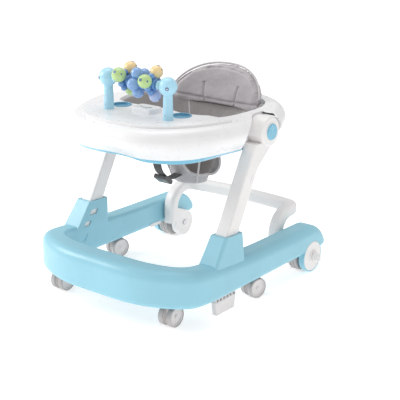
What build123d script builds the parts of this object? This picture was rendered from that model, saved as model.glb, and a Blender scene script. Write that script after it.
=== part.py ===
from build123d import *
import os
from math import cos, radians, sin, sqrt, tan

os.makedirs("parts", exist_ok=True)

# Baby walker, millimetres. +Z is up, -Y is the front, +X is the baby's left-hand side.
# The origin is on the floor, in the middle of the walker's footprint.
# Every mirrored piece is built once for +X and mirrored for -X.

# ---- driving dimensions ---------------------------------------------------
wall = 3.0                       # moulded wall
run_gap = 0.05                   # radial clearance of a shaft that turns

base_half_width = 266.0
base_half_length = 329.0
rail_width = 62.0
rail_inner_x = base_half_width - rail_width
rail_bottom = 57.0
rail_top_front = 152.0
foot_round = 14.0                # rounding of the rail's lower outer edge

axle_y, axle_z = 246.0, 45.0     # rear axle
axle_radius = 5.0
dome_radius = 82.0               # rear end of the rail, round the axle
rear_wheel_radius = 45.0
wheel_x0, wheel_x1 = 213.0, 241.0
disc_radius = 41.0

leg_tilt = 29.5                  # from the vertical, leaning back
leg_x0, leg_x1 = 207.5, 245.0
leg_foot_z = 72.0
leg_front_at_200 = -116.0        # y of the leg's front face at z = 200
leg_depth_low, leg_depth_high = 54.0, 47.0

hub_y, hub_z = 55.0, 429.0       # tray pivot
hub_radius = 38.0
hub_x1 = 252.0
cap_radius = 20.5
pin_radius = 8.0
tray_fold = 60.0                 # front edge up, degrees

tray_top = 477.0
ring_top = 471.0
trim_bottom = 388.0
trim_height = 11.0

post_x, post_y = 96.0, -155.0
ball_z, ball_radius = 557.0, 23.0
dish_x, dish_y, dish_radius = 97.0, -106.0, 26.0

caster_radius = 27.0
caster_trail = 3.0
caster_half_width = 20.0
swing_radius = 26.5              # room for the wheels' tops as they swivel
caster_places = {                # stem position, and the way the wheels point at rest
    "front_right": (-182.0, -258.0, 0.0),
    "front_left": (182.0, -258.0, 0.0),
    "middle_right": (-235.0, 9.0, -13.0),
    "middle_left": (235.0, 9.0, -13.0),
}

leg_slope = tan(radians(leg_tilt))


def leg_front(z):
    return leg_front_at_200 + (z - 200.0) * leg_slope


def save(piece, label):
    """Write one sub-part."""
    part = piece if isinstance(piece, Compound) else Compound([piece])
    part.label = label
    export_step(part, f"parts/{label}.step")


def save_pair(piece, name):
    """Write a +X piece as the left one and its mirror image as the right one."""
    save(piece, f"{name}_left")
    save(mirror(piece, about=Plane.YZ), f"{name}_right")


def save_both(piece, name):
    """Write a +X piece and its mirror image as one node of separate solids."""
    both = Compound([*piece.solids(), *mirror(piece, about=Plane.YZ).solids()])
    save(both, name)


# ---- base rail --------------------------------------------------------------
def rail_plan(inset):
    """Half plan of the U, from the front centre to the rear end."""
    outer_x = base_half_width - inset
    inner_x = rail_inner_x + inset
    front_y = -base_half_length + inset
    rear_y = base_half_length + 5
    with BuildSketch() as plan:
        with BuildLine():
            front = Spline(
                (0, front_y),
                (138 - 0.35 * inset, -319 + 0.92 * inset),
                (236 - 0.7 * inset, -271 + 0.72 * inset),
                (outer_x, -160),
                tangents=[(1, 0), (0.02, 1)],
            )
            Polyline(front @ 1, (outer_x, rear_y), (inner_x, rear_y), (inner_x, -190))
            back = Spline(
                (inner_x, -190),
                (150 + 0.5 * inset, -250 - 0.8 * inset),
                (0, front_y + rail_width + 6 - 2 * inset),
                tangents=[(0, -1), (-1, 0)],
            )
            Line(back @ 1, front @ 0)
        make_face()
    return plan.sketch


def rail_side(inset, bottom):
    """Side view of the rail: its top falls to the rear and ends round the rear axle."""
    radius = dome_radius - inset
    front_y = -base_half_length - 1
    dome_top = (axle_y, axle_z + radius)
    rear = (axle_y + sqrt(radius**2 - (bottom - axle_z) ** 2), bottom)
    with BuildSketch() as side:
        with BuildLine():
            Line((front_y, bottom), (front_y, rail_top_front - inset))
            Spline(
                (front_y, rail_top_front - inset),
                (-170, 141 - inset),
                (-60, 133 - inset),
                dome_top,
                tangents=[(1, 0), (1, -0.01)],
            )
            ThreePointArc(
                dome_top,
                (axle_y + radius * cos(radians(40)), axle_z + radius * sin(radians(40))),
                rear,
            )
            Line(rear, (front_y, bottom))
        make_face()
    return side.sketch


def rail_solid(inset, bottom, outer_round, inner_round, foot_round=0):
    """+X half of the U as a solid, rounded along its outer and inner top edges."""
    with BuildPart() as block:
        with BuildSketch(Plane.XY.offset(bottom)):
            add(rail_plan(inset))
        extrude(amount=rail_top_front + 20 - bottom)
        with BuildSketch(Plane.YZ):
            add(rail_side(inset, bottom))
        extrude(amount=base_half_width + 10, mode=Mode.INTERSECT)
        top = [e for e in block.edges() if e.center().Z > rail_bottom + 35 and e.length > 70]
        top = [e for e in top if abs((e % 0.5).Z) < 0.95 and e.center().X > 1]
        middle_x = (base_half_width + rail_inner_x) / 2
        is_outer = lambda e: e.center().X > middle_x or e.center().Y < -275
        fillet([e for e in top if is_outer(e)], outer_round)
        top = [e for e in block.edges() if e.center().Z > rail_bottom + 35 and e.length > 70]
        top = [e for e in top if abs((e % 0.5).Z) < 0.95 and e.center().X > 1]
        low = [e for e in top if e.center().X < rail_inner_x + inset + 1 and e.center().Y > -275]
        fillet(low, inner_round)
        if foot_round:
            foot = [e for e in block.edges() if e.center().Z < bottom + 0.5 and e.length > 70]
            foot = [e for e in foot if e.center().X > 1 and is_outer(e)]
            fillet(foot, foot_round)
    return block.part


def socket_outline():
    with BuildSketch() as outline:
        with BuildLine():
            Polyline((-188, 118), (-126, 200), (-56, 197), (-56, 100), (-170, 100), close=True)
        make_face()
    return outline.sketch


def leg_passage(grow, low, high):
    """Side view of the straight passage that the leg slides in, widened by grow."""
    with BuildSketch() as outline:
        with BuildLine():
            Polyline(
                (leg_front(low) - grow, low),
                (leg_front(high) - grow, high),
                (leg_front(high) + leg_depth_low + grow, high),
                (leg_front(low) + leg_depth_low + grow, low),
                close=True,
            )
        make_face()
    return outline.sketch


def window(y_low, z_low, y_high, z_high):
    """Side view of a leaning window in the socket."""
    lean = (z_high - z_low) * leg_slope
    with BuildSketch() as outline:
        with BuildLine():
            Polyline(
                (y_low, z_low),
                (y_low + lean, z_high),
                (y_high, z_high),
                (y_high - lean, z_low),
                close=True,
            )
        make_face()
        fillet(outline.vertices(), 2)
    return outline.sketch


def make_base_rail():
    core = rail_solid(1.0, rail_bottom + 6, 25, 8)
    with BuildPart() as inner_works:                 # leg sleeves, caster bosses, axle lugs
        with BuildSketch(Plane.YZ.offset(rail_inner_x)):
            add(leg_passage(4, rail_bottom + 6, 150))
        extrude(amount=leg_x1 + 4 - rail_inner_x)
        for place, (x, y, angle) in caster_places.items():
            if x > 0:
                with BuildSketch(Plane.XY.offset(rail_bottom + 6)):
                    with Locations((x, y)):
                        Circle(10)
                extrude(amount=100)
        add(core, mode=Mode.INTERSECT)
    with BuildPart() as half:
        add(rail_solid(0, rail_bottom, 26, 9, foot_round))
        add(rail_solid(wall, rail_bottom + wall, 23, 6, foot_round - 2 * wall), mode=Mode.SUBTRACT)
        with BuildSketch(Plane.XY.offset(rail_bottom - 1)):    # open from below, inside a lip
            add(rail_plan(foot_round + wall))
            with Locations((0, base_half_length)):
                Rectangle(900, 40, mode=Mode.SUBTRACT)
            for x, y, angle in caster_places.values():
                if x > 0:
                    with Locations((x, y)):
                        Circle(swing_radius)
            with Locations(((wheel_x0 + wheel_x1) / 2, axle_y)):
                Rectangle(wheel_x1 - wheel_x0 + 4, 2 * rear_wheel_radius + 8)
            with Locations((stop_x, stop_y)):
                Rectangle(15.4, 80.4)
        extrude(amount=wall + 2, mode=Mode.SUBTRACT)
        add(inner_works.part)
        with BuildPart(mode=Mode.PRIVATE) as socket:
            with BuildSketch(Plane.YZ.offset(rail_inner_x)):
                add(socket_outline())
            extrude(amount=60)
            with BuildSketch(Plane.XZ.offset(40)):
                with BuildLine():
                    Polyline(
                        (rail_inner_x, 90), (262, 90), (251, 205), (rail_inner_x, 205), close=True
                    )
                make_face()
            extrude(amount=170, mode=Mode.INTERSECT)
            outer = socket.edges().filter_by(lambda e: e.center().X > 245)
            fillet([e for e in outer if abs(e.center().Z - 150) < 35], 8)
        add(socket.part)
        with BuildSketch(Plane.YZ.offset(leg_x0 - 0.4)):   # passage for the leg
            add(leg_passage(0.4, rail_bottom - 5, 210))
        extrude(amount=leg_x1 - leg_x0 + 0.8, mode=Mode.SUBTRACT)
        with BuildSketch(Plane.YZ.offset(rail_inner_x - 1)):   # two height windows
            add(window(-126, 161, -91, 175))
            add(window(-149, 134, -120, 147))
        extrude(amount=6, mode=Mode.SUBTRACT)
        with BuildSketch(Plane.YZ.offset(rail_inner_x - 1)):   # blind notch
            with BuildLine():
                Polyline((-160, 95), (-158, 110), (-134, 114), (-146, 95), close=True)
            make_face()
        extrude(amount=2.5, mode=Mode.SUBTRACT)
        for x, y, angle in caster_places.values():
            if x > 0:
                with BuildSketch(Plane.XY.offset(rail_bottom)):
                    with Locations((x, y)):
                        Circle(5.0 + run_gap)
                extrude(amount=41, mode=Mode.SUBTRACT)
        with BuildSketch(Plane.YZ.offset(rail_inner_x)):       # inner axle lug
            with Locations((axle_y, axle_z)):
                Circle(24)
        extrude(amount=5)
        with BuildSketch(Plane.YZ.offset(250)):                # outer round plate
            with Locations((axle_y, axle_z)):
                Circle(disc_radius + 2.5)
        extrude(amount=base_half_width - 250)
        with BuildSketch(Plane.YZ.offset(259)):                # seat of the white disc
            with Locations((axle_y, axle_z)):
                Circle(disc_radius + 0.1)
        extrude(amount=20, mode=Mode.SUBTRACT)
        with BuildSketch(Plane.YZ.offset(rail_inner_x - 1)):
            with Locations((axle_y, axle_z)):
                Circle(axle_radius)
        extrude(amount=70, mode=Mode.SUBTRACT)
    whole = half.part + mirror(half.part, about=Plane.YZ)
    save(whole, "base_rail")


stop_x, stop_y = 245.5, -129.0


def make_stop_blocks():
    """Tapered friction block under each rail, ribbed and open at its top."""
    with BuildPart() as block:
        with BuildSketch(Plane.XY.offset(12)):
            with Locations((stop_x, stop_y)):
                RectangleRounded(15, 74, 4)
        with BuildSketch(Plane.XY.offset(46)):
            with Locations((stop_x, stop_y)):
                RectangleRounded(17, 82, 4)
        loft()
        with BuildSketch(Plane.XY.offset(44)):
            with Locations((stop_x, stop_y)):
                Rectangle(15, 80)
        extrude(amount=17)
        with BuildSketch(Plane.XY.offset(47)):
            with Locations((stop_x, stop_y)):
                with GridLocations(0, 13, 1, 6):
                    Rectangle(30, 9)
        extrude(amount=7, mode=Mode.SUBTRACT)
        with BuildSketch(Plane.XY.offset(12)):
            with Locations((stop_x, stop_y)):
                with GridLocations(0, 15, 1, 4):
                    Rectangle(30, 3)
        extrude(amount=3, mode=Mode.SUBTRACT)
    save_pair(block.part, "stop_block")


def make_rail_clips():
    with BuildPart() as clip:
        with BuildSketch(Plane.YZ.offset(rail_inner_x - 1.6)):
            with Locations((142, 63)):
                RectangleRounded(46, 9, 4)
        extrude(amount=1.6)
        with BuildSketch(Plane.YZ.offset(rail_inner_x - 1.6)):
            with Locations((142, 63)):
                RectangleRounded(38, 3.4, 1.6)
        extrude(amount=0.8, mode=Mode.SUBTRACT)
    save_both(clip.part, "rail_clips")


# ---- rear axle group ----------------------------------------------------------
def ring(x0, x1, outer, inner, y=axle_y, z=axle_z, round_outer=0.0):
    """Ring or disc along X."""
    with BuildPart() as part:
        with BuildSketch(Plane.YZ.offset(x0)):
            with Locations((y, z)):
                Circle(outer)
                if inner:
                    Circle(inner, mode=Mode.SUBTRACT)
        extrude(amount=x1 - x0)
        if round_outer:
            edges = part.edges().filter_by(GeomType.CIRCLE)
            fillet([e for e in edges if abs(e.radius - outer) < 0.01], round_outer)
    return part.part


def make_rear_group():
    axle = ring(180, 260, axle_radius, 0)
    head = ring(176, 180, 8.5, 0, round_outer=1.5)
    save_pair(axle + head, "rear_axle")
    hub = ring(wheel_x0 + 2, wheel_x1 - 2, 33, axle_radius + run_gap)
    lightening = ring(wheel_x0 + 1, wheel_x0 + 9, 28, 11)
    collar = ring(209.3, wheel_x0 + 3, 10, axle_radius + run_gap)
    outer_collar = ring(wheel_x1 - 3, 249.5, 10, axle_radius + run_gap)
    save_pair(hub - lightening + collar + outer_collar, "rear_wheel")
    tyre = ring(wheel_x0, wheel_x1, rear_wheel_radius, 33, round_outer=4)
    with BuildPart() as grooved:
        add(tyre)
        for x in (wheel_x0 + 9, wheel_x1 - 9):
            add(ring(x - 1, x + 1, rear_wheel_radius + 2, rear_wheel_radius - 1.5), mode=Mode.SUBTRACT)
    save_pair(grooved.part, "rear_tyre")
    disc = ring(260, 267, disc_radius, 0, round_outer=2.5)
    boss = ring(266, 270, 17, 0, round_outer=1.5)
    shelf = ring(259.0, 260, disc_radius - 3, axle_radius + 0.5)
    bore = ring(262, 271, 4 + run_gap, 0)
    save_pair(disc + boss + shelf - bore, "outer_disc")
    with BuildPart() as knob:
        add(ring(263, 270.5, 4, 0))
        add(ring(270.3, 277, 12, 0, round_outer=2))
        with BuildSketch(Plane.YZ.offset(276)):
            with Locations((axle_y, axle_z)):
                RectangleRounded(9, 22, 4)
        extrude(amount=15, taper=4)
        fillet(knob.faces().sort_by(Axis.X)[-1].edges(), 1.5)
    save_pair(knob.part, "lock_knob")


# ---- casters --------------------------------------------------------------------
def make_caster(label, x, y, angle):
    """One swivel caster with twin wheels, built at the origin along X and then placed."""
    axle_at = Location((0, caster_trail, caster_radius))
    with BuildPart() as fork:
        with BuildSketch(Plane.YZ.offset(-5)):
            with BuildLine():
                Polyline((-9, 58), (-9, 44), (-8, 24), (3, 17), (14, 24), (12, 46), (9, 58), close=True)
            make_face()
        extrude(amount=10)
        fillet(fork.edges().filter_by(Axis.X), 3)
        with BuildSketch(Plane.XY.offset(57)):
            Circle(10.5)
        extrude(amount=4.7)
        with BuildSketch(Plane.XY.offset(57)):
            Circle(5)
        extrude(amount=38)
        with BuildSketch(Plane.YZ.offset(-6)):
            with Locations((caster_trail, caster_radius)):
                Circle(3 + run_gap)
        extrude(amount=12, mode=Mode.SUBTRACT)
    with BuildPart() as hubs:
        with BuildSketch(Plane.YZ.offset(-12)):
            with Locations((caster_trail, caster_radius)):
                Circle(3)
        extrude(amount=24)
        for side in (-1, 1):
            with BuildSketch(Plane.YZ.offset(5.5 * side)):
                with Locations((caster_trail, caster_radius)):
                    Circle(23)
            extrude(amount=12.5 * side)
            with BuildSketch(Plane.YZ.offset(16 * side)):
                with Locations((caster_trail, caster_radius)):
                    Circle(19)
                    Circle(5, mode=Mode.SUBTRACT)
            extrude(amount=3 * side, mode=Mode.SUBTRACT)
            with BuildSketch(Plane.YZ.offset(17 * side)):
                with Locations((caster_trail, caster_radius)):
                    Circle(3)
            extrude(amount=2 * side)
    with BuildPart() as tyres:
        for side in (-1, 1):
            with BuildSketch(Plane.YZ.offset(5.5 * side)):
                with Locations((caster_trail, caster_radius)):
                    Circle(caster_radius)
                    Circle(23, mode=Mode.SUBTRACT)
            extrude(amount=(caster_half_width - 5.5) * side)
        rims = tyres.edges().filter_by(GeomType.CIRCLE)
        fillet([e for e in rims if abs(e.radius - caster_radius) < 0.01], 3)
    place = Location((x, y, 0), (0, 0, angle))
    for piece, name in ((fork, "caster_fork"), (hubs, "caster_hubs"), (tyres, "caster_tyres")):
        save(piece.part.moved(place), f"{name}_{label}")


# ---- legs -------------------------------------------------------------------------
pin_end = 231.0                  # outer end of the tray's pivot pin
cap_seat = hub_x1 - 9
cap_travel = 4.0


def make_legs():
    top = 405.0
    with BuildPart() as leg:
        with BuildSketch(Plane.YZ.offset(leg_x0)):
            with BuildLine():
                Polyline(
                    (leg_front(leg_foot_z), leg_foot_z),
                    (leg_front(top), top),
                    (hub_y + 25, hub_z - 26),
                    (leg_front(350) + leg_depth_high, 350),
                    (leg_front(leg_foot_z) + leg_depth_low, leg_foot_z),
                    close=True,
                )
            make_face()
        extrude(amount=leg_x1 - leg_x0)
        fillet([e for e in leg.edges().filter_by(lambda e: e.length > 100)], 5)
        with BuildSketch(Plane.YZ.offset(leg_x0)):
            with Locations((hub_y, hub_z)):
                Circle(hub_radius)
        extrude(amount=hub_x1 - leg_x0)
        hub_rim = [e for e in leg.edges().filter_by(GeomType.CIRCLE) if e.center().X > hub_x1 - 1]
        fillet(hub_rim, 6)
        add(ring(hub_x1 - 2, hub_x1 + 1.5, cap_radius + 4.5, 0, hub_y, hub_z, 1))
        add(ring(leg_x0 - 1, pin_end + 1, pin_radius + run_gap, 0, hub_y, hub_z), mode=Mode.SUBTRACT)
        add(ring(pin_end, cap_seat, 11, 0, hub_y, hub_z), mode=Mode.SUBTRACT)
        add(ring(cap_seat - 1, 270, cap_radius + 0.3, 0, hub_y, hub_z), mode=Mode.SUBTRACT)
        with BuildSketch(Plane.YZ.offset(leg_x1 - 5)):         # pocket of the height button
            with Locations(Location((button_y, button_z), -leg_tilt)):
                SlotOverall(23.6, 10.6, rotation=90)
        extrude(amount=10, mode=Mode.SUBTRACT)
    save_pair(leg.part, "leg")
    cap = ring(cap_seat + cap_travel, hub_x1 + 5, cap_radius, 0, hub_y, hub_z, 2.5)
    stem = ring(pin_end + 8, cap_seat + cap_travel + 1, 3, 0, hub_y, hub_z)
    save_pair(cap + stem, "hub_cap")
    spring = ring(pin_end + 0.5, cap_seat + 0.9, 10, 8, hub_y, hub_z)
    save_pair(spring, "cap_spring")
    pin = ring(186, pin_end - 1, pin_radius, 0, hub_y, hub_z)
    save_pair(pin, "pivot_pin")
    with BuildPart() as button:
        with BuildSketch(Plane.YZ.offset(leg_x1 - 2.4)):
            with Locations(Location((button_y, button_z), -leg_tilt)):
                SlotOverall(23, 10, rotation=90)
        extrude(amount=3.6)
        fillet(button.faces().sort_by(Axis.X)[-1].edges(), 0.8)
    save_pair(button.part, "height_button")


button_z = 322.0
button_y = leg_front(button_z) + 34


# ---- tray ---------------------------------------------------------------------------
tray_points = (                  # half plan of the tray at its widest
    (60, -281),
    (130, -257),
    (202, -183),
    (250, -75),
    (267, 40),
    (228, 155),
    (135, 243),
    (50, 267),
)
tray_foot_points = (             # the same points on the lower rim
    (55, -231),
    (125, -226),
    (178, -182),
    (199, -90),
    (212, 25),
    (187, 127),
    (115, 205),
    (45, 228),
)
seat_hole_points = (             # half plan of the opening that the seat hangs in
    (50, -73),
    (118, -72),
    (164, -40),
    (181, 25),
    (182, 100),
    (158, 163),
    (75, 212),
)


def closed_outline(points, inset):
    """Closed smooth outline through a half list of points and its mirror image."""
    def pulled(x, y):
        length = sqrt(x * x + y * y)
        return (x * (1 - inset / length), y * (1 - inset / length))

    right = [pulled(x, y) for x, y in points]
    left = [(-x, y) for x, y in reversed(right)]
    with BuildSketch() as plan:
        with BuildLine():
            Spline(right + left, periodic=True)
        make_face()
    return plan.sketch


def tray_outline(inset, share=1.0):
    """Outline of the tray, a share of the way from its lower rim out to its widest."""
    points = [
        (x0 + share * (x1 - x0), y0 + share * (y1 - y0))
        for (x0, y0), (x1, y1) in zip(tray_foot_points, tray_points)
    ]
    return closed_outline(points, inset)


def seat_hole(grow):
    return closed_outline(seat_hole_points, -grow)


tray_sections = (                # height, share of the widest outline, inset
    (trim_bottom, 0.0, 0),
    (406, 0.45, 0),
    (424, 0.85, 0),
    (442, 1.0, 0),
    (458, 1.0, 5),
    (467, 1.0, 14),
    (ring_top, 1.0, 26),
)


def tray_bulk(inset):
    """Solid of the tray; with an inset, the hollow inside its wall."""
    with BuildPart() as bulk:
        for z, share, pull in tray_sections:
            height = min(z, ring_top - inset)
            with BuildSketch(Plane.XY.offset(height - 0.2 * inset)):
                add(tray_outline(pull + 1.4 * inset, share))
        loft()
    return bulk.part


def leg_clearance(grow):
    """Space beside the tray for the hub, and for the leg while the tray folds, +X side."""
    reach = 150.0
    front_gap = 2.5 + grow
    rear = radians(leg_tilt - tray_fold)
    foot = trim_bottom - 10
    front_y = leg_front(foot) - front_gap
    with BuildPart() as space:
        with BuildSketch(Plane.YZ.offset(leg_x0 - 1.2 - grow)):
            with Locations((hub_y, hub_z)):
                Circle(hub_radius + 2 + grow)
            with BuildLine():
                low = hub_z - reach
                Polyline(
                    (hub_y - 3, hub_z + 10),
                    (leg_front(hub_z) - front_gap, hub_z),
                    (leg_front(low) - front_gap, low),
                    (hub_y - sin(rear) * reach + 48 + grow, low),
                    (hub_y + 40 + grow, hub_z),
                    close=True,
                )
            make_face()
        extrude(amount=120)
        with BuildSketch(Plane.XY.offset(foot)):       # the side wall turns in to meet the leg
            with BuildLine():
                Polyline(
                    (leg_x0 - 1.2 - grow, front_y),
                    (leg_x0 - 1.2 - grow, front_y + 50),
                    (320, front_y + 50),
                    (320, front_y - 110 - grow),
                    (258, front_y - 72 - grow),
                    close=True,
                )
            make_face()
        extrude(amount=120, dir=(0, sin(radians(leg_tilt)), cos(radians(leg_tilt))))
    return space.part


def make_tray():
    space = leg_clearance(0)
    spaces = space + mirror(space, about=Plane.YZ)
    wide_space = leg_clearance(wall)
    outer = tray_bulk(0)
    inner = tray_bulk(wall) - wide_space - mirror(wide_space, about=Plane.YZ)
    with BuildPart() as shell:
        add(outer)
        add(inner, mode=Mode.SUBTRACT)
        with BuildSketch(Plane.XY.offset(trim_bottom + 12)):   # wall round the seat
            add(seat_hole(wall))
        extrude(amount=ring_top - trim_bottom - 14)
        with BuildSketch(Plane.XY.offset(trim_bottom - 10)):
            add(seat_hole(0))
        extrude(amount=110, mode=Mode.SUBTRACT)
        with BuildSketch(Plane.XY.offset(trim_bottom - 10)):   # the trim's place
            Rectangle(700, 700)
        extrude(amount=10 + trim_height, mode=Mode.SUBTRACT)
        add(spaces, mode=Mode.SUBTRACT)
        boss = ring(180, leg_x0 - 1.5, 22, 0, hub_y, hub_z)
        add(boss)
        add(mirror(boss, about=Plane.YZ))
        bore = ring(186, 212, pin_radius, 0, hub_y, hub_z)
        add(bore, mode=Mode.SUBTRACT)
        add(mirror(bore, about=Plane.YZ), mode=Mode.SUBTRACT)
    save(shell.part, "tray_shell")
    with BuildPart() as trim:
        add(outer)
        add(inner, mode=Mode.SUBTRACT)
        with BuildSketch(Plane.XY.offset(trim_bottom)):
            Rectangle(700, 700)
        extrude(amount=trim_height - 0.02, mode=Mode.INTERSECT)
        add(spaces, mode=Mode.SUBTRACT)
    save(trim.part, "tray_trim")


panel_front_pull, panel_back_y = 36.0, -62.0


def make_play_panel():
    """Raised play panel with its two dishes and the middle unit."""
    with BuildPart() as panel:
        with BuildSketch(Plane.XY.offset(ring_top + 0.02)):
            add(tray_outline(panel_front_pull))
            with Locations((0, 300 + panel_back_y)):
                Rectangle(700, 600, mode=Mode.SUBTRACT)
            add(seat_hole(4), mode=Mode.SUBTRACT)
            with Locations((dish_x, dish_y), (-dish_x, dish_y)):
                Circle(dish_radius + 0.1, mode=Mode.SUBTRACT)
        extrude(amount=tray_top - ring_top)
    save(panel.part, "play_panel")
    with BuildPart() as dish:
        with BuildSketch(Plane.XY.offset(ring_top + 0.1)):
            with Locations((dish_x, dish_y)):
                Circle(dish_radius)
        extrude(amount=tray_top + 2 - ring_top)
        with BuildSketch(Plane.XY.offset(ring_top + 2)):
            with Locations((dish_x, dish_y)):
                Circle(dish_radius - 3.5)
        extrude(amount=20, mode=Mode.SUBTRACT)
        fillet(dish.faces().sort_by(Axis.Z)[-1].edges(), 1.2)
    save_pair(dish.part, "dish")
    with BuildPart() as unit:
        with BuildSketch(Plane.XY.offset(tray_top + 0.04)):
            with Locations((0, -122)):
                RectangleRounded(74, 50, 16)
        extrude(amount=12, taper=12)
        fillet(unit.faces().sort_by(Axis.Z)[-1].edges(), 4)
    save(unit.part, "middle_unit")


# ---- toy bar ----------------------------------------------------------------------------
def make_posts():
    with BuildPart() as post:
        with BuildSketch(Plane.XY.offset(tray_top + 0.02)):
            with Locations((post_x, post_y)):
                Circle(13)
        with BuildSketch(Plane.XY.offset(ball_z)):
            with Locations((post_x, post_y)):
                Circle(11)
        loft()
        with Locations((post_x, post_y, ball_z)):
            Sphere(ball_radius)
        add(ring(post_x - ball_radius - 7, post_x - 10, 11, 0, post_y, ball_z, 2))
        add(ring(post_x - 40, post_x - 14, 4, 0, post_y, ball_z), mode=Mode.SUBTRACT)
        for z in (ring_top + 18, ring_top + 40):
            with BuildSketch(Plane.XZ.offset(-post_y + 8)):
                with Locations((post_x, z)):
                    Circle(2.2)
            extrude(amount=10, mode=Mode.SUBTRACT)
    save_pair(post.part, "toy_post")
    with BuildPart() as screws:
        for z in (ring_top + 18, ring_top + 40):
            with BuildSketch(Plane.XZ.offset(-post_y + 8)):
                with Locations((post_x, z)):
                    Circle(2.2)
            extrude(amount=3.4)
    save_both(screws.part, "post_screws")
    shaft = ring(14 - post_x, post_x - 14, 4, 0, post_y, ball_z)
    save(shaft, "toy_shaft")


def toy_point(x, angle, reach):
    """Point beside the toy shaft, angle counted from +Y towards +Z."""
    return (x, post_y + reach * cos(radians(angle)), ball_z + reach * sin(radians(angle)))


knob_wheels = {                  # middle of the wheel along X, then knob name to (angle, radius)
    "left": (49.0, {"green": [(158, 17)], "yellow": [(62, 16)], "lilac": [(-75, 15)]}),
    "right": (-36.0, {"green": [(148, 18), (-55, 16)], "yellow": [(58, 17)]}),
}
knob_reach = 31.0
petal_wheel_x = 7.0


def make_knob_wheel(side, x, knobs):
    """Blue hub with spokes that end in coloured knobs, turning on the toy shaft."""
    with BuildPart() as hub:
        add(ring(x - 12, x + 12, 13, 0, post_y, ball_z, 2))
        for spots in knobs.values():
            for angle, radius in spots:
                with Locations(toy_point(x, angle, 15)):
                    Cylinder(7, 12, rotation=(angle - 90, 0, 0))
        for angle in (15, 105, 200, 245):
            with Locations(toy_point(x, angle, 20)):
                Sphere(8)
        for spots in knobs.values():
            for angle, radius in spots:
                with Locations(toy_point(x, angle, knob_reach)):
                    Sphere(radius + 0.02, mode=Mode.SUBTRACT)
        add(ring(x - 40, x + 40, 4 + run_gap, 0, post_y, ball_z), mode=Mode.SUBTRACT)
    save(hub.part, f"knob_wheel_{side}")
    for colour, spots in knobs.items():
        with BuildPart() as balls:
            for angle, radius in spots:
                with Locations(toy_point(x, angle, knob_reach)):
                    Sphere(radius)
            add(ring(x - 40, x + 40, 13.1, 0, post_y, ball_z), mode=Mode.SUBTRACT)
        save(balls.part, f"knob_{colour}_{side}")


def make_petal_wheel():
    with BuildPart() as wheel:
        add(ring(petal_wheel_x - 16, petal_wheel_x + 16, 16, 0, post_y, ball_z, 3))
        for turn in range(5):
            with Locations(toy_point(petal_wheel_x, 72 * turn + 40, 24)):
                Sphere(15)
        add(ring(-70, 70, 4 + run_gap, 0, post_y, ball_z), mode=Mode.SUBTRACT)
        add(ring(petal_wheel_x + 16.3, 80, 60, 0, post_y, ball_z), mode=Mode.SUBTRACT)
        add(ring(-80, petal_wheel_x - 16.3, 60, 0, post_y, ball_z), mode=Mode.SUBTRACT)
    save(wheel.part, "petal_wheel")


# ---- seat -----------------------------------------------------------------------------------
back_centre_y, back_inner, back_outer = -86.0, 271.0, 291.0
back_lean = 0.35                 # the back rest leans this far to the rear per height
seat_back_low, seat_back_high = 452.0, 547.0
sling_bottom = 260.0
sling_cloth = 4.0


def make_seat_back():
    with BuildPart() as pad:
        for z in (seat_back_low, seat_back_high + 5):
            middle_y = back_centre_y + back_lean * (z - tray_top)
            with BuildSketch(Plane.XY.offset(z)):
                with Locations((0, middle_y)):
                    Circle(back_outer)
                    Circle(back_inner, mode=Mode.SUBTRACT)
                with Locations((0, -200)):
                    Rectangle(700, 600, mode=Mode.SUBTRACT)
        loft()
        with BuildSketch(Plane.XZ):
            with BuildLine():
                arch = Spline(
                    (143, 474),
                    (122, 512),
                    (84, 533),
                    (0, seat_back_high),
                    (-84, 533),
                    (-122, 512),
                    (-143, 474),
                    tangents=[(0, 1), (0, -1)],
                )
                Polyline(arch @ 1, (-143, seat_back_low), (143, seat_back_low), arch @ 0)
            make_face()
        extrude(amount=-400, mode=Mode.INTERSECT)
    save(pad.part, "seat_back")


sling_levels = (                 # height, half width, half depth, middle
    (400, 118, 95, 58),
    (330, 82, 66, 52),
    (sling_bottom, 50, 42, 50),
)


def sling_bulk(inset):
    """Bucket of the sling, wide at the ring and narrow at the crotch."""
    with BuildPart() as bulk:
        with BuildSketch(Plane.XY.offset(468 + 0.2 * inset)):
            add(closed_outline(seat_hole_points, 7 + inset))
        for z, half_width, half_depth, middle in sling_levels:
            height = max(z, sling_bottom + inset)
            with BuildSketch(Plane.XY.offset(height)):
                with Locations((0, middle)):
                    Ellipse(half_width - inset, half_depth - inset)
        loft(ruled=True)
    return bulk.part


leg_hole_x, leg_hole_z, leg_hole_radius = 58.0, 325.0, 40.0


def make_seat_sling():
    with BuildPart() as sling:
        add(sling_bulk(0))
        add(sling_bulk(sling_cloth), mode=Mode.SUBTRACT)
        with BuildSketch(Plane.XZ.offset(150)):
            with Locations((leg_hole_x, leg_hole_z), (-leg_hole_x, leg_hole_z)):
                Circle(leg_hole_radius)
        extrude(amount=-210, mode=Mode.SUBTRACT)
        with BuildSketch(Plane.XY.offset(seat_back_low - 2)):   # room for the back pad
            with Locations((0, 200)):
                Rectangle(400, 210)
        extrude(amount=40, mode=Mode.SUBTRACT)
    save(sling.part, "seat_sling")


def make_strap():
    with BuildPart() as strap:
        with BuildSketch(Plane.YZ.offset(-13)):
            with BuildLine() as path:
                FilletPolyline((-78.8, 430), (-90, 384), (-84, 316), (-44, 284), (-1.6, 287), radius=22)
            trace(line_width=2.5)
        extrude(amount=26)
    save(strap.part, "seat_strap")
    with BuildPart() as buckle:
        with BuildSketch(Plane.YZ.offset(-19)):
            with Locations(Location((-62, 288), -38)):
                RectangleRounded(34, 12, 4)
        extrude(amount=38)
        with BuildSketch(Plane.YZ.offset(-13.5)):
            with Locations(Location((-62, 296.5), -38)):
                Rectangle(60, 6)
        extrude(amount=27, mode=Mode.SUBTRACT)
    save(buckle.part, "buckle")


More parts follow.
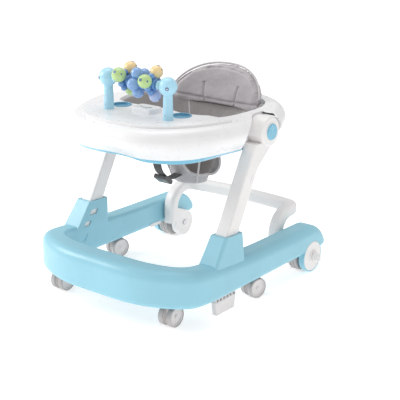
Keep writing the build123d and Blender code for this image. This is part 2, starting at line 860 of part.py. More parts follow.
def make_seat_hooks():
    with BuildPart() as hooks:
        for y in (24, 92):
            with BuildSketch(Plane.XY.offset(440)):
                with Locations((184, y)):
                    Rectangle(12, 14)
            extrude(amount=16)
        with BuildSketch(Plane.XY.offset(430)):
            add(seat_hole(-0.3))
        extrude(amount=40, mode=Mode.INTERSECT)
    save_both(hooks.part, "seat_hooks")


# ---- rear bar ------------------------------------------------------------------------------
bar_x, bar_width, bar_height = 182.0, 34.0, 34.0
bar_arm_y, bar_top_z = 188.0, 160.0


bend_radius, corner_radius, bow_angle = 56.0, 26.0, 7.3
bow_radius = corner_radius + (bar_x - corner_radius) / sin(radians(bow_angle))


def bar_point(centre_y, centre_x, radius, angle):
    """Point of an arc at the height of the crossbar, angle counted from +X towards +Y."""
    turn = radians(angle)
    return (centre_x + radius * cos(turn), centre_y + radius * sin(turn), bar_top_z)


def bar_path():
    """Middle line of the +X half: up, back over a bend, round the corner and along the bow."""
    bend_z = bar_top_z - bend_radius
    bend_y = bar_arm_y + bend_radius
    half_turn = bend_radius * cos(radians(45))
    corner_x, corner_y = bar_x - corner_radius, bar_arm_y + 64
    bow_y = corner_y - (bow_radius - corner_radius) * cos(radians(bow_angle))
    last = 90 - bow_angle
    Line((bar_x, bar_arm_y, 62), (bar_x, bar_arm_y, bend_z))
    ThreePointArc(
        (bar_x, bar_arm_y, bend_z),
        (bar_x, bend_y - half_turn, bend_z + half_turn),
        (bar_x, bend_y, bar_top_z),
    )
    Line((bar_x, bend_y, bar_top_z), (bar_x, corner_y, bar_top_z))
    ThreePointArc(
        *[bar_point(corner_y, corner_x, corner_radius, angle) for angle in (0, last / 2, last)]
    )
    ThreePointArc(
        *[bar_point(bow_y, 0, bow_radius, angle) for angle in (last, (last + 90) / 2, 90)]
    )


def make_push_bar():
    """U-shaped bar on the rear axle: two arms that bend to the rear and a bowed crossbar."""
    disc_x0 = bar_x - 3
    with BuildPart() as half:
        with BuildLine():
            bar_path()
        with BuildSketch(Plane((bar_x, bar_arm_y, 62), x_dir=(1, 0, 0), z_dir=(0, 0, 1))):
            RectangleRounded(bar_width, bar_height, 11)
        sweep()
        with BuildSketch(Plane.YZ.offset(disc_x0)):        # web down to the axle disc
            with BuildLine():
                Polyline(
                    (bar_arm_y - 13, 62),
                    (bar_arm_y + 10, 104),
                    (axle_y + 10, axle_z + 35),
                    (axle_y, axle_z),
                    close=True,
                )
            make_face()
            with Locations((axle_y, axle_z)):
                Circle(37)
        extrude(amount=bar_x + bar_width / 2 - 1 - disc_x0)
        add(ring(160, 206, axle_radius + run_gap, 0), mode=Mode.SUBTRACT)
        add(ring(160, disc_x0 + 1.5, 9, 0), mode=Mode.SUBTRACT)
    save(half.part + mirror(half.part, about=Plane.YZ), "push_bar")


make_base_rail()
make_stop_blocks()
make_rail_clips()
make_rear_group()
for caster_label, (stem_x, stem_y, point) in caster_places.items():
    make_caster(caster_label, stem_x, stem_y, point)
make_legs()
make_tray()
make_play_panel()
make_posts()
for wheel_side, (wheel_x, wheel_knobs) in knob_wheels.items():
    make_knob_wheel(wheel_side, wheel_x, wheel_knobs)
make_petal_wheel()
make_seat_back()
make_seat_sling()
make_strap()
make_seat_hooks()
make_push_bar()
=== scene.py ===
import math

import bmesh
import bpy
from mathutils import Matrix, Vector, noise


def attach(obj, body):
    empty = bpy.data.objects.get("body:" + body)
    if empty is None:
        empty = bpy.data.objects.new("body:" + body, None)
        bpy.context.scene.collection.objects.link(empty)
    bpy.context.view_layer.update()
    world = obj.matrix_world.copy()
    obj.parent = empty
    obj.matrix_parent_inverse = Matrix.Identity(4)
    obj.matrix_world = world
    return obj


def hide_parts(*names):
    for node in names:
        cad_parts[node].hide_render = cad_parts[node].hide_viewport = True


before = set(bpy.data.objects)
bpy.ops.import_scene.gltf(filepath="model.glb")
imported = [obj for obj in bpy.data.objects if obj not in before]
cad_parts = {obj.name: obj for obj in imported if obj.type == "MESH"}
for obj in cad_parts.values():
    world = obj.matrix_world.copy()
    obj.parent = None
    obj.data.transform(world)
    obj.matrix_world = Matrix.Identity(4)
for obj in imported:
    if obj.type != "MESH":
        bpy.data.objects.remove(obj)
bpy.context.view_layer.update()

# Baby walker, metres. -Y is the front, +X is the child's left.

# ---- places and sizes -----------------------------------------------------------
BACK_CENTRE_Y = -0.090                     # centre of the back rest's curve
BACK_INNER = 0.271                         # radius of the back rest's front skin
BACK_CORE = BACK_INNER + 0.010             # radius at the middle of its thickness
BACK_HALF_WIDTH = 0.1435
BACK_THICK = 0.021
BACK_FOOT = 0.434                          # height of its lower edge
BACK_SHOULDER, BACK_ARCH = 0.472, 0.074    # height of the straight sides, and the arch's rise
BACK_SPAN = math.asin(BACK_HALF_WIDTH / BACK_CORE)
BACK_LEAN = 0.35                           # rearward lean per height, above SEAT_RING
SEAT_RING = 0.466
SEAM_HEIGHT = 0.450                        # the long seam across the back rest
SEAM_SIDE, SEAM_TOP = 0.050, 0.495         # the two upright seams, from the middle
PIPING = 0.0028                            # radius of the piped edges
LEG_HOLE_PIPING = 0.0032
SLING_MIDDLE_Y = 0.058
SLING_TOP, SLING_BOTTOM = 0.466, 0.262
SLING_CLOTH = 0.0022
LEG_HOLE = (0.058, 0.325, 0.040)           # x, z and radius
STRAP_WIDTH, STRAP_HALF_THICK = 0.026, 0.0012
POST_X, POST_Y, BALL_Z, BALL_RADIUS = 0.096, -0.155, 0.557, 0.023
KNOB_REACH = 0.031                         # from the toy bar's line to a knob's centre


# ---- materials ------------------------------------------------------------------
def new_material(name):
    material = bpy.data.materials.new(name)
    material.use_nodes = True
    nodes, links = material.node_tree.nodes, material.node_tree.links
    shader = nodes["Principled BSDF"]
    coords = nodes.new("ShaderNodeTexCoord")
    return material, nodes, links, shader, coords


def noise_node(nodes, links, coords, scale, detail=4.0, roughness=0.6):
    node = nodes.new("ShaderNodeTexNoise")
    node.inputs["Scale"].default_value = scale
    node.inputs["Detail"].default_value = detail
    node.inputs["Roughness"].default_value = roughness
    links.new(coords.outputs["Object"], node.inputs["Vector"])
    return node


def ramp_node(nodes, links, source, low, high, start=0.35, end=0.65):
    node = nodes.new("ShaderNodeValToRGB")
    node.color_ramp.elements[0].position = start
    node.color_ramp.elements[1].position = end
    node.color_ramp.elements[0].color = (*low, 1)
    node.color_ramp.elements[1].color = (*high, 1)
    links.new(source, node.inputs["Fac"])
    return node


def shade(colour, factor):
    return tuple(min(1.0, c * factor) for c in colour)


def bump_node(nodes, links, shader, source, strength, distance):
    node = nodes.new("ShaderNodeBump")
    node.inputs["Strength"].default_value = strength
    node.inputs["Distance"].default_value = distance
    links.new(source, node.inputs["Height"])
    links.new(node.outputs["Normal"], shader.inputs["Normal"])
    return node


def plastic(name, colour, rough=0.32, coat=0.25, grain=0.02):
    """Moulded plastic: faint colour flow, fine orange-peel grain and scuffed gloss."""
    material, nodes, links, shader, coords = new_material(name)
    flow = noise_node(nodes, links, coords, 9.0, 3.0)
    tint = ramp_node(nodes, links, flow.outputs["Fac"], shade(colour, 0.965), shade(colour, 1.02))
    links.new(tint.outputs["Color"], shader.inputs["Base Color"])
    scuff = noise_node(nodes, links, coords, 60.0, 8.0, 0.7)
    gloss = nodes.new("ShaderNodeMapRange")
    gloss.inputs["From Min"].default_value = 0.35
    gloss.inputs["From Max"].default_value = 0.75
    gloss.inputs["To Min"].default_value = rough - 0.05
    gloss.inputs["To Max"].default_value = rough + 0.10
    links.new(scuff.outputs["Fac"], gloss.inputs["Value"])
    links.new(gloss.outputs["Result"], shader.inputs["Roughness"])
    grain_noise = noise_node(nodes, links, coords, 900.0, 2.0)
    bump_node(nodes, links, shader, grain_noise.outputs["Fac"], grain, 0.0004)
    shader.inputs["Coat Weight"].default_value = coat
    shader.inputs["Coat Roughness"].default_value = 0.15
    shader.inputs["Subsurface Weight"].default_value = 0.04
    shader.inputs["Subsurface Radius"].default_value = (0.004, 0.004, 0.004)
    return material


def rubber(name, colour):
    """Matt rubber: dusty colour and fine pores."""
    material, nodes, links, shader, coords = new_material(name)
    dust = noise_node(nodes, links, coords, 45.0, 6.0, 0.7)
    tint = ramp_node(nodes, links, dust.outputs["Fac"], shade(colour, 0.85), shade(colour, 1.12))
    links.new(tint.outputs["Color"], shader.inputs["Base Color"])
    shader.inputs["Roughness"].default_value = 0.62
    pores = noise_node(nodes, links, coords, 1400.0, 2.0)
    bump_node(nodes, links, shader, pores.outputs["Fac"], 0.15, 0.0005)
    return material


def steel(name, colour):
    """Brushed steel."""
    material, nodes, links, shader, coords = new_material(name)
    stretch = nodes.new("ShaderNodeMapping")
    stretch.inputs["Scale"].default_value = (4.0, 1.0, 1.0)
    links.new(coords.outputs["Object"], stretch.inputs["Vector"])
    brush = nodes.new("ShaderNodeTexNoise")
    brush.inputs["Scale"].default_value = 500.0
    links.new(stretch.outputs["Vector"], brush.inputs["Vector"])
    tint = ramp_node(nodes, links, brush.outputs["Fac"], shade(colour, 0.85), shade(colour, 1.1))
    links.new(tint.outputs["Color"], shader.inputs["Base Color"])
    shader.inputs["Metallic"].default_value = 1.0
    shader.inputs["Roughness"].default_value = 0.3
    bump_node(nodes, links, shader, brush.outputs["Fac"], 0.08, 0.0002)
    return material


def woven(name, colour, thread=0.0011, sheen=0.35, contrast=0.12, depth=0.35):
    """Woven cloth: two crossed threads, mottled yarn colour and a soft sheen."""
    material, nodes, links, shader, coords = new_material(name)
    waves = []
    for direction in ("X", "Z"):
        wave = nodes.new("ShaderNodeTexWave")
        wave.wave_type = "BANDS"
        wave.bands_direction = direction
        wave.inputs["Scale"].default_value = 0.314 / thread
        wave.inputs["Distortion"].default_value = 0.6
        wave.inputs["Detail"].default_value = 1.0
        links.new(coords.outputs["Object"], wave.inputs["Vector"])
        waves.append(wave)
    weave = nodes.new("ShaderNodeMath")
    weave.operation = "MULTIPLY"
    links.new(waves[0].outputs["Fac"], weave.inputs[0])
    links.new(waves[1].outputs["Fac"], weave.inputs[1])
    yarn = noise_node(nodes, links, coords, 220.0, 6.0, 0.75)
    mottle = ramp_node(
        nodes, links, yarn.outputs["Fac"], shade(colour, 1 - contrast), shade(colour, 1 + contrast)
    )
    broad = noise_node(nodes, links, coords, 14.0, 3.0)
    blotch = ramp_node(nodes, links, broad.outputs["Fac"], (0.93, 0.93, 0.93), (1, 1, 1))
    mix = nodes.new("ShaderNodeMix")
    mix.data_type = "RGBA"
    mix.blend_type = "MULTIPLY"
    mix.inputs["Factor"].default_value = 1.0
    links.new(mottle.outputs["Color"], mix.inputs[6])
    links.new(blotch.outputs["Color"], mix.inputs[7])
    links.new(mix.outputs[2], shader.inputs["Base Color"])
    shader.inputs["Roughness"].default_value = 0.9
    shader.inputs["Sheen Weight"].default_value = sheen
    shader.inputs["Sheen Roughness"].default_value = 0.5
    bump_node(nodes, links, shader, weave.outputs["Value"], depth, 0.0005)
    return material


base_blue = plastic("base_blue", (0.30, 0.61, 0.73), rough=0.38, coat=0.15)
trim_blue = plastic("trim_blue", (0.20, 0.52, 0.70), rough=0.28, coat=0.3)
post_blue = plastic("post_blue", (0.44, 0.76, 0.93), rough=0.30, coat=0.3)
tray_white = plastic("tray_white", (0.88, 0.875, 0.88), rough=0.30, coat=0.15, grain=0.012)
leg_white = plastic("leg_white", (0.87, 0.85, 0.84), rough=0.40, coat=0.1)
caster_grey = plastic("caster_grey", (0.78, 0.74, 0.73), rough=0.42, coat=0.1)
tyre_grey = rubber("tyre_grey", (0.50, 0.475, 0.47))
plain_steel = steel("plain_steel", (0.62, 0.62, 0.64))
seat_fabric = woven("seat_fabric", (0.47, 0.44, 0.455), contrast=0.08)
sling_fabric = woven("sling_fabric", (0.27, 0.25, 0.25), contrast=0.08)
piping_fabric = woven("piping_fabric", (0.58, 0.55, 0.555), thread=0.0007)
webbing = woven("webbing", (0.070, 0.068, 0.070), thread=0.0016, contrast=0.2, depth=0.8)
black_plastic = plastic("black_plastic", (0.070, 0.068, 0.070), rough=0.35)
toy_blue = plastic("toy_blue", (0.16, 0.34, 0.66), rough=0.25, coat=0.4)
toy_petal = plastic("toy_petal", (0.24, 0.42, 0.74), rough=0.25, coat=0.4)
toy_green = plastic("toy_green", (0.50, 0.70, 0.30), rough=0.28, coat=0.4)
toy_yellow = plastic("toy_yellow", (0.93, 0.70, 0.36), rough=0.28, coat=0.4)
toy_lilac = plastic("toy_lilac", (0.46, 0.55, 0.82), rough=0.28, coat=0.4)
dish_blue = plastic("dish_blue", (0.17, 0.40, 0.56), rough=0.22, coat=0.4)
pin_blue = plastic("pin_blue", (0.05, 0.12, 0.30), rough=0.35)
mark_grey = plastic("mark_grey", (0.42, 0.50, 0.46), rough=0.45)

node_material = {
    "base_rail": base_blue,
    "tray_trim": trim_blue,
    "hub_cap": trim_blue,
    "dish": dish_blue,
    "toy_post": post_blue,
    "tray_shell": tray_white,
    "play_panel": tray_white,
    "middle_unit": tray_white,
    "seat_hooks": tray_white,
    "leg": leg_white,
    "push_bar": leg_white,
    "height_button": leg_white,
    "outer_disc": leg_white,
    "lock_knob": leg_white,
    "rail_clips": tray_white,
    "caster_fork": caster_grey,
    "caster_hubs": caster_grey,
    "rear_wheel": caster_grey,
    "stop_block": caster_grey,
    "caster_tyres": tyre_grey,
    "rear_tyre": tyre_grey,
    "rear_axle": plain_steel,
    "pivot_pin": plain_steel,
    "cap_spring": plain_steel,
    "post_screws": plain_steel,
    "toy_shaft": plain_steel,
    "seat_back": seat_fabric,
    "seat_sling": sling_fabric,
    "seat_strap": webbing,
    "buckle": black_plastic,
    "knob_wheel": toy_blue,
    "petal_wheel": toy_petal,
    "knob_green": toy_green,
    "knob_yellow": toy_yellow,
    "knob_lilac": toy_lilac,
}


def dress_nodes():
    """Give every CAD node its material."""
    for name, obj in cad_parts.items():
        stem = max((s for s in node_material if name.startswith(s)), key=len)
        for material_slot in obj.material_slots:
            material_slot.material = node_material[stem]


# ---- camera, light and floor ---------------------------------------------------------
CAMERA_AZIMUTH, CAMERA_ELEVATION = math.radians(38.06), math.radians(18.35)
CAMERA_DISTANCE, CAMERA_LENS = 2.84, 94.5
CAMERA_TARGET = Vector((0, 0.091, 0.1908))


def make_camera():
    back = Vector(
        (
            math.sin(CAMERA_AZIMUTH) * math.cos(CAMERA_ELEVATION),
            -math.cos(CAMERA_AZIMUTH) * math.cos(CAMERA_ELEVATION),
            math.sin(CAMERA_ELEVATION),
        )
    )
    data = bpy.data.cameras.new("camera")
    data.lens, data.sensor_width = CAMERA_LENS, 36
    camera = bpy.data.objects.new("camera", data)
    camera.location = CAMERA_TARGET + CAMERA_DISTANCE * back
    camera.rotation_euler = (-back).to_track_quat("-Z", "Y").to_euler()
    bpy.context.scene.collection.objects.link(camera)
    bpy.context.scene.camera = camera


def area_light(name, place, target, size, power):
    data = bpy.data.lights.new(name, "AREA")
    data.shape, data.size, data.energy = "DISK", size, power
    light = bpy.data.objects.new(name, data)
    light.location = place
    light.rotation_euler = (Vector(target) - Vector(place)).to_track_quat("-Z", "Y").to_euler()
    bpy.context.scene.collection.objects.link(light)


def make_studio():
    world = bpy.data.worlds.new("studio")
    world.use_nodes = True
    sky = world.node_tree.nodes["Background"]
    sky.inputs["Color"].default_value = (1, 1, 1, 1)
    sky.inputs["Strength"].default_value = 0.60
    bpy.context.scene.world = world
    area_light("key", (-2.4, -1.5, 1.7), (0, 0, 0.25), 1.5, 44)
    area_light("top", (-0.3, 0.4, 3.0), (0, 0, 0.3), 2.2, 26)
    area_light("fill", (2.6, -1.0, 1.4), (0, 0, 0.3), 1.6, 6)
    bpy.ops.mesh.primitive_plane_add(size=14)
    floor = bpy.context.object
    floor.name = "floor"
    material, nodes, links, shader, coords = new_material("floor")
    dust = noise_node(nodes, links, coords, 3.0, 3.0)
    tint = ramp_node(nodes, links, dust.outputs["Fac"], (0.93, 0.93, 0.93), (0.95, 0.95, 0.95))
    links.new(tint.outputs["Color"], shader.inputs["Base Color"])
    shader.inputs["Roughness"].default_value = 0.85
    shader.inputs["Emission Color"].default_value = (1, 1, 1, 1)
    shader.inputs["Emission Strength"].default_value = 0.45
    floor.data.materials.append(material)
    bpy.context.scene.view_settings.view_transform = "Standard"


# ---- mesh helpers ---------------------------------------------------------------------
def mesh_piece(name, verts, faces, material, smooth=True):
    mesh = bpy.data.meshes.new(name)
    mesh.from_pydata([tuple(v) for v in verts], [], faces)
    mesh.materials.append(material)
    mesh.validate()
    obj = bpy.data.objects.new(name, mesh)
    bpy.context.scene.collection.objects.link(obj)
    edit = bmesh.new()
    edit.from_mesh(mesh)
    bmesh.ops.recalc_face_normals(edit, faces=edit.faces)
    edit.to_mesh(mesh)
    edit.free()
    mesh.polygons.foreach_set("use_smooth", [smooth] * len(mesh.polygons))
    return obj


def apply_modifiers(obj):
    """Turn the modifiers' result into the mesh itself."""
    graph = bpy.context.evaluated_depsgraph_get()
    mesh = bpy.data.meshes.new_from_object(obj.evaluated_get(graph))
    obj.modifiers.clear()
    obj.data = mesh
    mesh.polygons.foreach_set("use_smooth", [True] * len(mesh.polygons))


def grid_faces(rows, columns, closed=False):
    """Quads of a grid of vertices stored row by row; closed joins the last column to the first."""
    faces = []
    for row in range(rows - 1):
        for column in range(columns if closed else columns - 1):
            after = (column + 1) % columns
            faces.append(
                (
                    row * columns + column,
                    row * columns + after,
                    (row + 1) * columns + after,
                    (row + 1) * columns + column,
                )
            )
    return faces


def shell_faces(rows, columns):
    """Quads of two equal grids, one after the other, closed by a band round their rims."""
    faces = grid_faces(rows, columns)
    offset = rows * columns
    faces += [tuple(index + offset for index in face) for face in faces]
    rim = list(range(columns))
    rim += [row * columns + columns - 1 for row in range(1, rows)]
    rim += [(rows - 1) * columns + column for column in range(columns - 2, -1, -1)]
    rim += [row * columns for row in range(rows - 2, 0, -1)]
    for place, index in enumerate(rim):
        after = rim[(place + 1) % len(rim)]
        faces.append((index, after, after + offset, index + offset))
    return faces


def tube(name, points, radius, material, closed=False, sides=10):
    """Round tube along a list of points, such as piping or wire."""
    count = len(points)
    verts, up = [], Vector((0, 0, 1))
    for index, point in enumerate(points):
        if closed:
            along = points[(index + 1) % count] - points[index - 1]
        else:
            along = points[min(index + 1, count - 1)] - points[max(index - 1, 0)]
        along.normalize()
        side = along.cross(up)
        if side.length < 0.2:
            side = along.cross(Vector((0, 1, 0)))
        side.normalize()
        top = side.cross(along)
        for turn in range(sides):
            angle = 2 * math.pi * turn / sides
            verts.append(point + radius * (math.cos(angle) * side + math.sin(angle) * top))
    faces = []
    for row in range(count if closed else count - 1):
        after = (row + 1) % count
        for turn in range(sides):
            step = (turn + 1) % sides
            faces.append(
                (row * sides + turn, row * sides + step, after * sides + step, after * sides + turn)
            )
    if not closed:
        faces.append(tuple(range(sides)))
        faces.append(tuple((count - 1) * sides + turn for turn in range(sides)))
    return mesh_piece(name, verts, faces, material)


def inflate(obj, voxel=0.005, pressure=4.0, most=0.006):
    """Swell a closed soft piece by cloth simulation, with each point's move capped."""
    remesh = obj.modifiers.new("remesh", "REMESH")
    remesh.mode, remesh.voxel_size = "VOXEL", voxel
    apply_modifiers(obj)
    before = [v.co.copy() for v in obj.data.vertices]
    cloth = obj.modifiers.new("cloth", "CLOTH")
    cloth.settings.use_pressure = True
    cloth.settings.uniform_pressure_force = pressure
    cloth.settings.effector_weights.gravity = 0
    cloth.settings.quality = 5
    scene = bpy.context.scene
    for step in range(1, 21):
        scene.frame_set(step)
    apply_modifiers(obj)
    for vertex, start in zip(obj.data.vertices, before):
        move = vertex.co - start
        if move.length > most:
            vertex.co = start + move * (most / move.length)
    scene.frame_set(1)


# ---- seat ------------------------------------------------------------------------------------
def arch_height(x):
    """Top edge of the back rest: a low arch that drops to straight sides."""
    share = min(1.0, abs(x) / (BACK_HALF_WIDTH + 0.0005))
    return BACK_SHOULDER + BACK_ARCH * (1 - share**2.4) ** 0.588


def back_middle(height):
    return BACK_CENTRE_Y + BACK_LEAN * (height - SEAT_RING)


def back_point(angle, height, depth):
    """Point of the back rest: depth grows from its front skin to its rear skin."""
    radius = BACK_INNER + depth
    y = back_middle(height) + radius * math.cos(angle)
    return Vector((radius * math.sin(angle), y, height))


def seam_groove(distance, width=0.0035):
    return math.exp(-((distance / width) ** 2))


def make_seat_back():
    columns, rows = 64, 26
    verts = []
    for layer in (0.0035, BACK_THICK - 0.003):
        for row in range(rows):
            for column in range(columns):
                angle = BACK_SPAN * (2 * column / (columns - 1) - 1)
                middle_x = BACK_CORE * math.sin(angle)
                share = row / (rows - 1)
                top = arch_height(middle_x)
                height = BACK_FOOT + (top - BACK_FOOT) * share
                verts.append(back_point(angle, height, layer))
    pad = mesh_piece("seat_back_pad", verts, shell_faces(rows, columns), seat_fabric)
    inflate(pad, voxel=0.0045, pressure=5.0, most=0.006)
    subdivide = pad.modifiers.new("subdivide", "SUBSURF")
    subdivide.levels = subdivide.render_levels = 1
    apply_modifiers(pad)
    press_seams(pad)
    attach(pad, "tray")
    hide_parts("seat_back")
    make_back_piping()


def press_seams(pad):
    """Press the sewn seams and soft creases into the back rest's skin."""
    for vertex in pad.data.vertices:
        x, y, z = vertex.co
        middle_y = back_middle(z)
        reach = math.hypot(x, y - middle_y)
        rise = 0.009 * (x / 0.12) ** 2
        press = seam_groove(z - SEAM_HEIGHT - rise)
        if z < SEAM_TOP:
            press = max(press, seam_groove(abs(x) - SEAM_SIDE - 0.15 * (z - SEAM_HEIGHT)))
        edge = arch_height(x) - z
        press = max(press, 0.8 * seam_groove(edge - 0.012, 0.0025))
        wrinkle = noise.noise(Vector((x * 18, z * 34, 0))) * 0.0016
        crumple = noise.noise(Vector((x * 60, z * 90, 4))) * 0.0005
        front = 1 if reach < BACK_INNER + BACK_THICK / 2 else -1
        push = front * (0.0042 * press - wrinkle - crumple)
        scale = (reach + push) / reach
        vertex.co.x = x * scale
        vertex.co.y = middle_y + (y - middle_y) * scale


def make_back_piping():
    edge_points = []
    for column in range(121):
        side = math.sin(math.pi * (column / 120 - 0.5))
        angle = BACK_SPAN * side
        height = arch_height(BACK_CORE * math.sin(angle)) - 0.001
        edge_points.append(back_point(angle, height, BACK_THICK * 0.5))
    piping = tube("seat_back_piping", edge_points, PIPING, piping_fabric)
    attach(piping, "tray")


HOLE_POINTS = (                            # half outline of the tray's opening
    (0.050, -0.073),
    (0.118, -0.072),
    (0.164, -0.040),
    (0.181, 0.025),
    (0.182, 0.100),
    (0.158, 0.163),
    (0.075, 0.212),
)


def hole_outline(inset):
    """Outline of the opening, drawn in towards the origin, as angle and reach about its middle."""
    half = []
    for x, y in HOLE_POINTS:
        shrink = 1 - inset / math.hypot(x, y)
        half.append((x * shrink, y * shrink))
    points = half + [(-x, y) for x, y in reversed(half)]
    polar = [
        (math.atan2(y - SLING_MIDDLE_Y, x), math.hypot(x, y - SLING_MIDDLE_Y)) for x, y in points
    ]
    return sorted(polar)


def outline_reach(polar, angle):
    """Smooth reach of a closed polar outline at an angle (Catmull-Rom)."""
    turn = 2 * math.pi
    ring = [(a - turn, r) for a, r in polar[-3:]] + polar + [(a + turn, r) for a, r in polar[:3]]
    for index in range(1, len(ring) - 2):
        if ring[index][0] <= angle < ring[index + 1][0]:
            (a0, r0), (a1, r1), (a2, r2), (a3, r3) = ring[index - 1 : index + 3]
            share = (angle - a1) / (a2 - a1)
            slope1 = (r2 - r0) / (a2 - a0) * (a2 - a1)
            slope2 = (r3 - r1) / (a3 - a1) * (a2 - a1)
            s2, s3 = share * share, share**3
            return (
                (2 * s3 - 3 * s2 + 1) * r1
                + (s3 - 2 * s2 + share) * slope1
                + (-2 * s3 + 3 * s2) * r2
                + (s3 - s2) * slope2
            )
    return polar[0][1]


def ellipse_outline(half_width, half_depth, middle_y):
    """Oval outline as angle and reach about the sling's middle."""
    polar = []
    for step in range(24):
        turn = 2 * math.pi * (step + 0.5) / 24
        x, y = half_width * math.cos(turn), middle_y + half_depth * math.sin(turn) - SLING_MIDDLE_Y
        polar.append((math.atan2(y, x), math.hypot(x, y)))
    return sorted(polar)


sling_outlines = (                         # share of the way down, height and outline
    (0.0, SLING_TOP, hole_outline(0.009)),
    (0.33, 0.400, ellipse_outline(0.116, 0.093, 0.058)),
    (0.66, 0.330, ellipse_outline(0.080, 0.064, 0.052)),
    (1.0, SLING_BOTTOM, ellipse_outline(0.047, 0.039, 0.050)),
)


def sling_point(angle, share):
    """Point of the sling's cloth, share 0 at the ring and 1 at the bottom edge."""
    levels = sling_outlines
    index = 0
    while index < len(levels) - 2 and share > levels[index + 1][0]:
        index += 1
    (s0, z0, o0), (s1, z1, o1) = levels[index], levels[index + 1]
    mix = (share - s0) / (s1 - s0)
    reach = outline_reach(o0, angle) * (1 - mix) + outline_reach(o1, angle) * mix
    height = z0 * (1 - mix) + z1 * mix
    ripple = 0.0018 * math.sin(9 * angle) * math.sin(math.pi * share)
    ripple += 0.003 * noise.noise(Vector((math.cos(angle) * 2, math.sin(angle) * 2, share * 3)))
    reach -= abs(ripple)
    return Vector((reach * math.cos(angle), SLING_MIDDLE_Y + reach * math.sin(angle), height))


def make_seat_sling():
    columns, rows = 220, 56
    verts = []
    for row in range(rows):
        share = row / (rows - 1)
        for column in range(columns):
            angle = -math.pi + 2 * math.pi * (column + 0.5) / columns
            verts.append(sling_point(angle, share))
    bottom_rows = 8
    rim = verts[-columns:]
    middle = sum(rim, Vector()) / columns
    for row in range(1, bottom_rows):                 # rounded floor of the sling
        share = row / bottom_rows
        for point in rim:
            low = point.lerp(middle, share)
            low.z = point.z - 0.008 * math.sin(share * math.pi / 2)
            verts.append(low)
    faces = grid_faces(rows + bottom_rows - 1, columns, closed=True)
    first = (rows + bottom_rows - 2) * columns
    faces.append(tuple(first + column for column in range(columns)))
    cloth = mesh_piece("seat_sling_cloth", verts, faces, sling_fabric)
    edit = bmesh.new()
    edit.from_mesh(cloth.data)
    rings = [cut_leg_hole(edit, side) for side in (-1, 1)]
    edit.to_mesh(cloth.data)
    edit.free()
    cloth.data.materials.append(seat_fabric)
    thick = cloth.modifiers.new("thick", "SOLIDIFY")
    thick.thickness, thick.offset = SLING_CLOTH, 0.0
    thick.material_offset = 1
    apply_modifiers(cloth)
    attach(cloth, "tray")
    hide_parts("seat_sling")
    make_sling_piping(rings)


def cut_leg_hole(edit, side):
    """Cut one round leg hole in the sling's front, and return the points round its edge."""
    hole_x, hole_z, hole_radius = side * LEG_HOLE[0], LEG_HOLE[1], LEG_HOLE[2]
    doomed = []
    for face in edit.faces:
        centre = face.calc_center_median()
        near = math.hypot(centre.x - hole_x, centre.z - hole_z) < hole_radius
        if near and centre.y < 0.05:
            doomed.append(face)
    bmesh.ops.delete(edit, geom=doomed, context="FACES")
    edge_verts = {v for e in edit.edges if e.is_boundary for v in e.verts}
    edge_verts = [v for v in edge_verts if v.co.x * side > 0 and v.co.z < 0.45]
    for vert in edge_verts:
        dx, dz = vert.co.x - hole_x, vert.co.z - hole_z
        scale = hole_radius / math.hypot(dx, dz)
        vert.co.x = hole_x + dx * scale
        vert.co.z = hole_z + dz * scale
    edge_verts.sort(key=lambda v: math.atan2(v.co.z - hole_z, v.co.x - hole_x))
    return [v.co.copy() for v in edge_verts]


SLING_SEAMS = (                            # piped seams down the sling, degrees from +X to +Y
    ("front_left", -38),
    ("front_right", -142),
    ("rear_left", 48),
    ("rear_right", 132),
)


def make_sling_piping(rings):
    """Piping round the leg holes and down the sling's seams."""
    for side, ring in zip(("right", "left"), rings):
        smooth_ring = [
            (ring[i - 1] + ring[i] * 2 + ring[(i + 1) % len(ring)]) / 4 for i in range(len(ring))
        ]
        piping = tube(
            f"leg_hole_piping_{side}", smooth_ring, LEG_HOLE_PIPING, piping_fabric, closed=True
        )
        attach(piping, "tray")
    for name, degrees in SLING_SEAMS:
        angle = math.radians(degrees)
        line = [sling_point(angle, 0.02 + 0.96 * step / 40) for step in range(41)]
        outward = Vector((math.cos(angle), math.sin(angle), 0)) * 0.002
        piping = tube(f"sling_piping_{name}", [p + outward for p in line], PIPING, piping_fabric)
        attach(piping, "tray")


STRAP_ROUTE = (
    (0, -0.079, 0.430),
    (0, -0.083, 0.405),
    (0, -0.090, 0.380),
    (0, -0.088, 0.350),
    (0, -0.083, 0.318),
    (0, -0.064, 0.298),
    (0, -0.042, 0.284),
    (0, -0.022, 0.284),
    (0, 0.000, 0.287),
)


def strap_path():
    """Points along the smooth line that the strap's route gives."""
    curve = bpy.data.curves.new("strap_line", "CURVE")
    curve.dimensions = "3D"
    spline = curve.splines.new("NURBS")
    spline.points.add(len(STRAP_ROUTE) - 1)
    for point, place in zip(spline.points, STRAP_ROUTE):
        point.co = (*place, 1)
    spline.order_u = 3
    spline.use_endpoint_u = True
    line = bpy.data.objects.new("strap_line", curve)
    bpy.context.scene.collection.objects.link(line)
    sampled = bpy.data.meshes.new_from_object(line)
    path = [v.co.copy() for v in sampled.vertices]
    bpy.data.objects.remove(line)
    return path


def make_strap():
    """Crotch strap of ribbed webbing."""
    path = strap_path()
    across = 14
    verts = []
    for layer in (-1, 1):
        for index, point in enumerate(path):
            along = (path[min(index + 1, len(path) - 1)] - path[max(index - 1, 0)]).normalized()
            normal = along.cross(Vector((1, 0, 0)))
            for column in range(across + 1):
                share = column / across - 0.5
                rib = 0.0003 * math.cos(share * across * 2 * math.pi / 3)
                lift = normal * layer * (STRAP_HALF_THICK + rib)
                verts.append(point + Vector((share * STRAP_WIDTH, 0, 0)) + lift)
    strap = mesh_piece("crotch_strap", verts, shell_faces(len(path), across + 1), webbing)
    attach(strap, "tray")
    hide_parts("seat_strap")


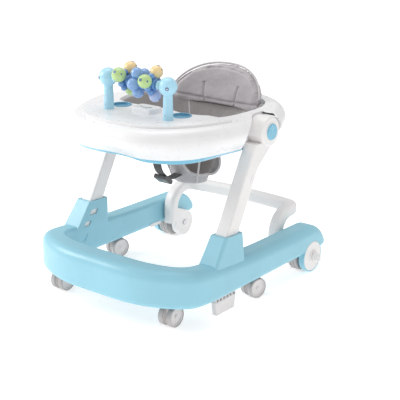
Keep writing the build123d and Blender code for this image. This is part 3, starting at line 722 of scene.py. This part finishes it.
# ---- toy bar trim and tray marks ---------------------------------------------------------
def disc_mark(name, centre, normal, radius, material, body, depth=0.0012):
    """Small round disc, such as a screw head or a pin's end."""
    bpy.ops.mesh.primitive_cylinder_add(vertices=24, radius=radius, depth=depth)
    mark = bpy.context.object
    mark.name = name
    mark.rotation_euler = Vector(normal).to_track_quat("Z", "Y").to_euler()
    mark.location = Vector(centre)
    mark.data.materials.append(material)
    bevel = mark.modifiers.new("bevel", "BEVEL")
    bevel.width, bevel.segments = depth * 0.3, 2
    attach(mark, body)
    return mark


KNOBS = (                                  # body, x, angle from +Y to +Z, radius
    ("knob_wheel_left", 0.049, 158, 0.017),
    ("knob_wheel_left", 0.049, 62, 0.016),
    ("knob_wheel_left", 0.049, -75, 0.015),
    ("knob_wheel_right", -0.036, 148, 0.018),
    ("knob_wheel_right", -0.036, 58, 0.017),
    ("knob_wheel_right", -0.036, -55, 0.016),
)


def make_toy_trim():
    """Pin ends and crowns on the toy knobs, and a screw on each post's head."""
    for index, (body, x, degrees, radius) in enumerate(KNOBS):
        turn = math.radians(degrees)
        outward = Vector((0, math.cos(turn), math.sin(turn)))
        centre = Vector((x, POST_Y, BALL_Z)) + outward * KNOB_REACH
        for side in (-1, 1):
            tilt = (outward * 0.5 + Vector((side * 0.87, 0, 0))).normalized()
            end = centre + tilt * radius
            pin = disc_mark(f"knob_pin_{index}_{side + 1}", end, tilt, 0.0022, pin_blue, body)
        top = centre + outward * radius
        crown = disc_mark(f"knob_crown_{index}", top, outward, 0.0040, pin_blue, body)
    for side in (-1, 1):
        name = "left" if side > 0 else "right"
        face = Vector((side * 0.55, -0.8, -0.05)).normalized()
        ball = Vector((side * POST_X, POST_Y, BALL_Z))
        seat = ball + face * (BALL_RADIUS + 0.0002)
        screw = disc_mark(f"ball_screw_{name}", seat, face, 0.0042, pin_blue, "tray")
        place = ball + face * (BALL_RADIUS + 0.0012)
        head = disc_mark(f"ball_screw_head_{name}", place, face, 0.0022, plain_steel, "tray")


def make_unit_mark():
    """Raised arc on the tray's middle unit."""
    arc = []
    for step in range(25):
        turn = math.radians(200 + 140 * step / 24)
        arc.append(Vector((0.019 * math.cos(turn), -0.119 + 0.013 * math.sin(turn), 0.4893)))
    mark = tube("unit_arc", arc, 0.0011, mark_grey)
    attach(mark, "tray")


# ---- make everything --------------------------------------------------------------------
dress_nodes()
make_camera()
make_studio()
make_seat_back()
make_seat_sling()
make_strap()
make_toy_trim()
make_unit_mark()
